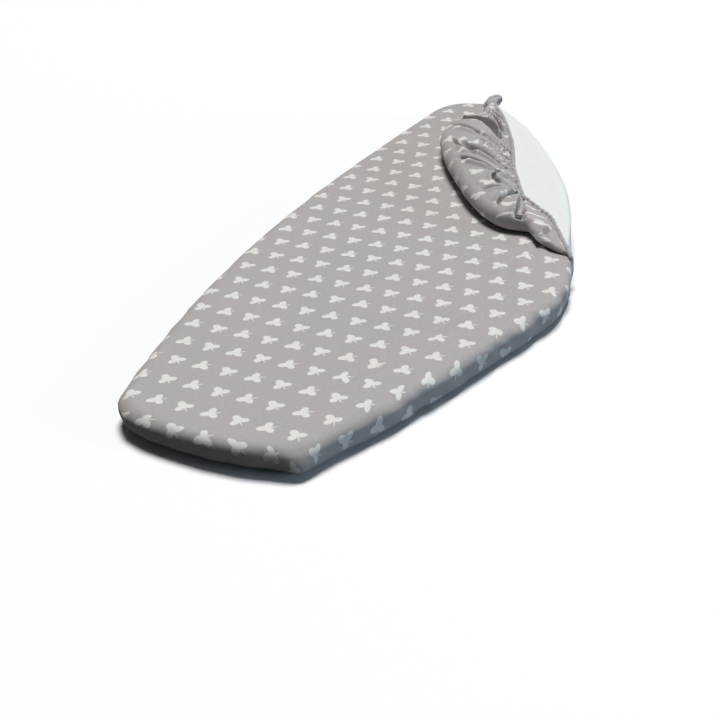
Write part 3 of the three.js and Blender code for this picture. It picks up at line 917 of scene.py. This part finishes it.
def stitched_cotton():
    """The plain ground of the cotton with a row of stitches along the casing."""
    material, tree = plain_finish("hem_cotton", cotton_roughness, cotton_sheen)
    cut = cut_map(tree)
    x, y = cut_ways(tree, cut)
    along_row = calc(tree, "FLOORED_MODULO", x, stitch_pitch)
    beside_row = calc(tree, "ABSOLUTE", calc(tree, "SUBTRACT", y, stitch_row))
    on_row = calc(tree, "LESS_THAN", beside_row, stitch_half_width)
    stitch = calc(tree, "MULTIPLY", calc(tree, "LESS_THAN", along_row, stitch_length), on_row)
    stitch = calc(tree, "MULTIPLY", stitch, thread_share)
    slub = fibres(tree, cut, slub_size, detail=3.0)
    colour = two_tone(tree, stitch, two_tone(tree, slub, hem_dark, hem_light), thread_colour)
    height = calc(tree, "SUBTRACT", slub, stitch)
    return surfaced(material, colour, height, strength=0.35, distance=0.0008)


hem_line = hem_path()
hem_casing = loop_tube("hem_casing", hem_line, gathered, casing_sides)
hem_casing.data.materials.append(stitched_cotton())
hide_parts("cover_hem_casing", "corner_hem_casing")
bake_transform(hem_casing)


# Elastic. A round braided cord with a rubber core lies in the casing all the way
# round, a little stretched, so that it pulls the skirt in under the edge.
elastic_radius, elastic_sides = 1.4, 8
braid_size, braid_dark, braid_light = 900.0, (0.66, 0.64, 0.6), (0.78, 0.76, 0.72)


def braided_elastic():
    material, tree = plain_finish("braided_elastic", roughness=0.7)
    braid = fibres(tree, cut_map(tree), braid_size, detail=1.0)
    colour = two_tone(tree, braid, braid_dark, braid_light)
    return surfaced(material, colour, braid, strength=0.4, distance=0.0004)


hem_elastic = loop_tube(
    "hem_elastic", hem_line, lambda length, turn: elastic_radius, elastic_sides
)
hem_elastic.data.materials.append(braided_elastic())
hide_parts("cover_elastic", "corner_elastic")
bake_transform(hem_elastic)


# White lining. A thin felted backing under the wadding, sewn in along the rolled edge.
# It goes round the roll of the fold into the turned corner, and is the white that
# shows there.
lining_inset, lining_z, lining_thickness = 4.0, 26.0, 1.0
lining_spacing, station_step = 10.0, 5.0
lining_end_gap = 12.0
axis_gap = 4.5
roll_fullness = 1.08
inner_drop, inner_least = 9.0, 1.5
inner_near_run, inner_far_run = (-10, 100), (-10, 90)
belly_share, belly_from, belly_to = (0, 0.25), (90, 150), (505, 545)
lining_belly, lining_swell = 0.9, [(1.3, 21, 34), (0.5, 3, 12)]
layer_drop, layer_inset = 0.3, 0.5
inner_spacing, inner_margin = 1.5, 0.8
roll_rows_below, roll_rows_above, inner_rows, inner_curl_rows = 6, 7, 16, 8
lining_rows = 34


def backing_section(s, depth, low_z):
    """Round the roll and over the turned corner's lower layer, as places."""
    crease, top_v = table_at(crease_table, s), table_at(lining_height_table, s) - depth
    low_v = low_z - axis_z
    radius, centre_v = (top_v - low_v) / 2, (top_v + low_v) / 2
    points = []
    below = np.linspace(low_v, -axis_gap, roll_rows_below)
    above = np.linspace(min(axis_gap, top_v - 0.1), top_v, roll_rows_above)
    for v in (*below, *above):
        bulge = math.sqrt(max(1 - ((v - centre_v) / radius) ** 2, 0))
        points.append((s, crease + radius * roll_fullness * bulge, v))
    height = table_at(height_table, s) - inner_drop - depth * layer_drop
    curl = (max(height, top_v + inner_least) - top_v) / 2
    within = smooth(*inner_near_run, s - s_near) * smooth(*inner_far_run, s_far - s)
    centre_u = mix(crease, curl - (lining_reach(s) - depth * layer_inset), within)
    for k in range(1, inner_rows + 1):
        share = k / inner_rows
        u = mix(crease, centre_u, share)
        belly = lining_belly * math.sin(math.pi * share) + swell(s, u, lining_swell)
        belly *= smooth(*belly_share, share) * between(belly_from, belly_to, s)
        points.append((s, u, top_v + belly))
    for k in range(1, inner_curl_rows + 1):
        turn = math.pi * k / inner_curl_rows
        v = top_v + curl - curl * math.cos(turn)
        points.append((s, centre_u - curl * math.sin(turn), v))
    return [fold_place(*p) for p in points]


def backed_sheet(name, inset, low_z, depth, s_low, s_high, spacing, rows):
    """A flat layer under the top that turns up and back round the fold."""
    ways, places = ring_ways(inset, spacing)
    rim = [
        outline_at(way, inset + pull_in(place, places[-1])) for way, place in zip(ways, places)
    ]
    stations = spaced(s_low, s_high, station_step)
    crease = [fold_place(s, table_at(crease_table, s), 0)[:2] for s in stations]
    boundary = [tuple(p) for p in rim] + [tuple(p) for p in crease[::-1]]
    inner, triangles = filled(boundary, spacing * inner_spacing, spacing * inner_margin)
    points = [np.array((x, y, low_z)) for x, y in boundary + inner]
    faces = [list(reversed(t)) for t in triangles]
    columns = []
    for n, s in enumerate(stations):
        column = [len(rim) + len(stations) - 1 - n]
        for place in backing_section(s, depth, low_z)[1:rows]:
            points.append(place)
            column.append(len(points) - 1)
        columns.append(column)
    for corners in strip_faces(columns):
        faces.append([columns[i][k] for i, k in corners])
    return mesh_piece(name, points, faces)


felt_size, cloud_size = 420.0, 14.0
white_warm, white_cool = (0.81, 0.81, 0.78), (0.75, 0.76, 0.73)


def white_backing():
    material, tree = plain_finish("white_backing", roughness=0.95, sheen=0.1)
    place = tree.nodes.new("ShaderNodeTexCoord").outputs["Object"]
    felt = fibres(tree, place, felt_size, detail=4.0)
    cloud = fibres(tree, place, cloud_size, detail=2.0)
    shade = levelled(tree, felt, factor=0.14, start=0.93)
    white = toned(tree, two_tone(tree, cloud, white_warm, white_cool), shade)
    return surfaced(material, white, felt, strength=0.3, distance=0.0006)


lining_from, lining_to = s_near + lining_end_gap, s_far - lining_end_gap
lining = backed_sheet(
    "white_lining", lining_inset, lining_z, 0.0, lining_from, lining_to,
    lining_spacing, lining_rows,
)  # fmt: skip
lining.data.materials.append(white_backing())
thicken(lining, lining_thickness)
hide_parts("cover_lining", "corner_lining")
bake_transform(lining)


# Wadding. A soft polyester pad between the print and the lining, held flat by both.
# Only its thickness shows, in the roll of the edge and of the fold.
wadding_inset, wadding_z, wadding_thickness = 15.0, 27.1, 4.0
wadding_depth, wadding_spacing = 1.4, 12.0
wadding_near_gap, wadding_far_gap = 90.0, 110.0
wadding_rows = 30
fibre_size, fibre_dark, fibre_light = 300.0, (0.72, 0.7, 0.64), (0.86, 0.84, 0.78)


def polyester_wadding():
    material, tree = plain_finish("polyester_wadding", roughness=1.0)
    place = tree.nodes.new("ShaderNodeTexCoord").outputs["Object"]
    fibre = fibres(tree, place, fibre_size, detail=5.0)
    colour = two_tone(tree, fibre, fibre_dark, fibre_light)
    return surfaced(material, colour, fibre, strength=0.6, distance=0.002)


wadding_from, wadding_to = s_near + wadding_near_gap, s_far - wadding_far_gap
wadding = backed_sheet(
    "wadding", wadding_inset, wadding_z, wadding_depth, wadding_from, wadding_to,
    wadding_spacing, wadding_rows,
)  # fmt: skip
wadding.data.materials.append(polyester_wadding())
thicken(wadding, wadding_thickness)
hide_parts("cover_wadding", "corner_wadding")
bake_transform(wadding)


# Bunched cloth. At the far end of the fold the slack of the printed cotton runs in
# folds into a small ball, which the pull of the elastic holds together.
# Its line is made of places: along, across, height, radius.
knot_line = [
    (598, -22, 2.5, 5), (607, -20, 5, 9), (617, -17, 8, 10), (625, -11, 9, 9),
    (632, -6, 9.5, 8.5), (638, -3, 9, 2),
]  # fmt: skip
knot_rings, knot_sides = 34, 40
knot_closes_from, knot_closes_in, knot_opens = 625, 13.2, (-6, 8)
knot_wide, knot_high, knot_least, knot_unevenness = 1.1, 0.95, 0.6, 0.16
knot_folds, knot_fold_depth, knot_twist, knot_folds_end = 5, 0.17, 0.14, (621, 629)
knot_cut_y, knot_cut_step, knot_cut_along = 24.0, 0.25, 0.6


def knot_mesh():
    points, faces, cuts = [], [], []
    first, last = knot_line[0][0], knot_line[-1][0]
    for i in range(knot_rings + 1):
        s = mix(first, last, i / knot_rings)
        u, v, radius = (table_at([(p[0], p[j]) for p in knot_line], s) for j in (1, 2, 3))
        closing = max((s - knot_closes_from) / knot_closes_in, 0)
        closing = math.sqrt(max(1 - closing**2, 0.0)) * smooth(*knot_opens, s - first)
        fold_share = knot_fold_depth * (1 - smooth(*knot_folds_end, s))
        for k in range(knot_sides):
            turn = math.tau * k / knot_sides
            crumple = fold_share * math.sin(turn * knot_folds + s * knot_twist)
            uneven = knot_unevenness * ripple(s, turn * 5, 2, 9)
            size = radius * closing * (1 + crumple + uneven)
            height = max(v + knot_high * size * math.sin(turn), knot_least)
            points.append(fold_place(s, u + knot_wide * size * math.cos(turn), height))
    for i in range(knot_rings):
        start, end = i * knot_cut_along, i * knot_cut_along + knot_cut_along
        for k in range(knot_sides):
            m = (k + 1) % knot_sides
            a, b = i * knot_sides, (i + 1) * knot_sides
            faces.append([a + k, b + k, b + m, a + m])
            low, high = (knot_cut_y + knot_cut_step * (k + step) for step in (0, 1))
            cuts.append([(start, low), (end, low), (end, high), (start, high)])
    for ring, order in ((0, 1), (knot_rings, -1)):
        faces.append([ring * knot_sides + k for k in range(knot_sides)][::order])
        cuts.append([(ring * knot_cut_along, knot_cut_y)] * knot_sides)
    return points, faces, cuts


knot = mesh_piece("bunched_cloth", *knot_mesh())
knot.data.materials.append(print_face)
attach(knot, "cover")


# Pale floor, a painted sheet that the cover lies on and throws its shadow on, and a
# white surround that only the camera sees, so that neither lights the cloth much.
floor_half, floor_z = 9000, -0.3
floor_seen, floor_bounce = (0.97, 0.97, 0.97), (0.1, 0.1, 0.1)
sky_light, sky_seen = (0.034, 0.042, 0.048), (1.0, 1.0, 1.0)


def camera_sees(tree, other_ray):
    rays = tree.nodes.new("ShaderNodeLightPath")
    return calc(tree, "MAXIMUM", rays.outputs["Is Camera Ray"], rays.outputs[other_ray])


def pale_floor():
    material, tree = plain_finish("pale_floor", roughness=1.0)
    colour = two_tone(tree, camera_sees(tree, "Is Glossy Ray"), floor_bounce, floor_seen)
    tree.links.new(colour, tree.nodes["Principled BSDF"].inputs["Base Color"])
    return material


floor_corners = [(-1, -1), (1, -1), (1, 1), (-1, 1)]
floor = mesh_piece(
    "floor", [(x * floor_half, y * floor_half, floor_z) for x, y in floor_corners], [(0, 1, 2, 3)]
)
floor.data.materials.append(pale_floor())

world = bpy.data.worlds.new("studio")
bpy.context.scene.world = world
world.use_nodes = True
tree = world.node_tree
sky = two_tone(tree, camera_sees(tree, "Is Transmission Ray"), sky_light, sky_seen)
tree.links.new(sky, tree.nodes["Background"].inputs["Color"])


# Lamps: a wide soft key high above, which stands for a studio ceiling, and a weak
# cool fill low on the near side, as from a window.
def lamp(name, place, target, size, energy, colour=(1.0, 1.0, 1.0)):
    light = bpy.data.lights.new(name, "AREA")
    light.shape = "SQUARE"
    light.size = size
    light.energy, light.color = energy, colour
    holder = bpy.data.objects.new(name, light)
    holder.location = place
    direction = Vector(target) - Vector(place)
    holder.rotation_euler = direction.to_track_quat("-Z", "Y").to_euler()
    bpy.context.scene.collection.objects.link(holder)


lamp("key", place=(9.6, 2.7, 40.2), target=(0, 0, 0.04), size=15.0, energy=17550)
lamp(
    "fill", place=(0.6, -7.0, 1.2), target=(0, 0, 0.02), size=2.5, energy=175,
    colour=(0.6, 0.8, 1.0),
)  # fmt: skip


# Camera of the photograph. Its place in metres, its pan, pitch and roll in degrees and
# its lens were fitted to the photograph's straight edges.
camera_place = (-1.3902, -0.7154, 0.696)
pan, pitch, roll = map(math.radians, (30.9511, 28.1772, 3.2909))
camera_data = bpy.data.cameras.new("photo_camera")
camera_data.lens, camera_data.sensor_width = 67.1793, 36.0
camera = bpy.data.objects.new("photo_camera", camera_data)
forward = Vector(
    (math.cos(pan) * math.cos(pitch), math.sin(pan) * math.cos(pitch), -math.sin(pitch))
)
level = forward.cross(Vector((0, 0, 1))).normalized()
drop = forward.cross(level)
right = level * math.cos(roll) + drop * math.sin(roll)
down = drop * math.cos(roll) - level * math.sin(roll)
turn = Matrix((right, -down, -forward)).transposed()
camera.matrix_world = Matrix.Translation(camera_place) @ turn.to_4x4()
bpy.context.scene.collection.objects.link(camera)
bpy.context.scene.camera = camera

bpy.context.scene.view_settings.view_transform = "Standard"
